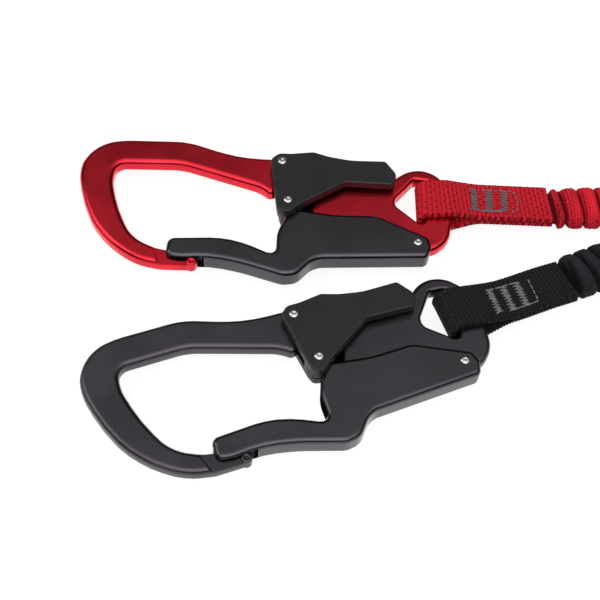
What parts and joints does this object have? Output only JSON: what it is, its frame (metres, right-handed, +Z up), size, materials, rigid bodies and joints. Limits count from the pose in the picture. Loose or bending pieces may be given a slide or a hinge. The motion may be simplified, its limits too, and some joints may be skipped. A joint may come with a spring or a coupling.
{
  "type": "via ferrata lanyard",
  "caption": "Climbing lanyard with palm-squeeze connectors on elastic webbing arms, a tear-webbing shock absorber in a pouch and a tie-in loop.",
  "frame": {"origin": "centre of the bounding box of everything but the free arms, on the surface that the lanyard lies on", "axes": "+Z up from that surface; +X from the connectors' noses towards the absorber; +Y from the black connector towards the red one"},
  "size_m": [0.5509, 0.1859, 0.0319],
  "materials": {
    "red_anodised": "satin red anodised",
    "black_anodised": "satin black anodised",
    "gate_black": "satin black coat on aluminium",
    "lever_black": "matt black coat on aluminium",
    "steel": "plain steel",
    "rivet_steel": "bright stainless steel",
    "red_webbing": "woven polyester",
    "black_webbing": "woven polyester",
    "pouch_fabric": "coated fabric over foam",
    "tear_yarn": "woven polyamide"
  },
  "bodies": {
    "lanyard": {"red_frame": "red_anodised", "red_lever_rivet": "rivet_steel", "red_gate_rivet": "rivet_steel", "red_nose_pin": "red_anodised", "red_webbing_loop": "red_webbing", "red_arm": "red_webbing", "black_frame": "black_anodised", "black_lever_rivet": "rivet_steel", "black_gate_rivet": "rivet_steel", "black_nose_pin": "black_anodised", "black_webbing_loop": "black_webbing", "black_arm": "black_webbing", "pouch_shell": "pouch_fabric", "pouch_flap": "pouch_fabric", "tear_webbing": "tear_yarn", "tie_in_loop": "black_webbing"},
    "red_gate_body": {"red_gate": "gate_black", "red_gate_spring": "steel"},
    "red_lever_body": {"red_lock_lever": "lever_black", "red_latch_block": "lever_black", "red_latch_rivet": "rivet_steel", "red_lock_spring": "steel"},
    "black_gate_body": {"black_gate": "gate_black", "black_gate_spring": "steel"},
    "black_lever_body": {"black_lock_lever": "lever_black", "black_latch_block": "lever_black", "black_latch_rivet": "rivet_steel", "black_lock_spring": "steel"}
  },
  "joints": [
    {"name": "red_gate_hinge", "type": "hinge", "parent": "lanyard", "child": "red_gate_body", "pos_m": [-0.08689, 0.05147, 0.008], "axis": [0, 0, -1], "range_deg": [0, 16], "stiffness_Nm_per_rad": 0.5},
    {"name": "red_lever_hinge", "type": "hinge", "parent": "lanyard", "child": "red_lever_body", "pos_m": [-0.13928, 0.0823, 0.008], "axis": [0, 0, -1], "range_deg": [0, 10], "stiffness_Nm_per_rad": 0.3},
    {"name": "black_gate_hinge", "type": "hinge", "parent": "lanyard", "child": "black_gate_body", "pos_m": [-0.07007, 0.0021, 0.008], "axis": [0, 0, -1], "range_deg": [0, 16], "stiffness_Nm_per_rad": 0.5},
    {"name": "black_lever_hinge", "type": "hinge", "parent": "lanyard", "child": "black_lever_body", "pos_m": [-0.12988, 0.01304, 0.008], "axis": [0, 0, -1], "range_deg": [0, 10], "stiffness_Nm_per_rad": 0.3}
  ],
  "couplings": [
    {"joint": "red_lever_hinge", "follows": "red_gate_hinge", "ratio": 0.625},
    {"joint": "black_lever_hinge", "follows": "black_gate_hinge", "ratio": 0.625}
  ]
}
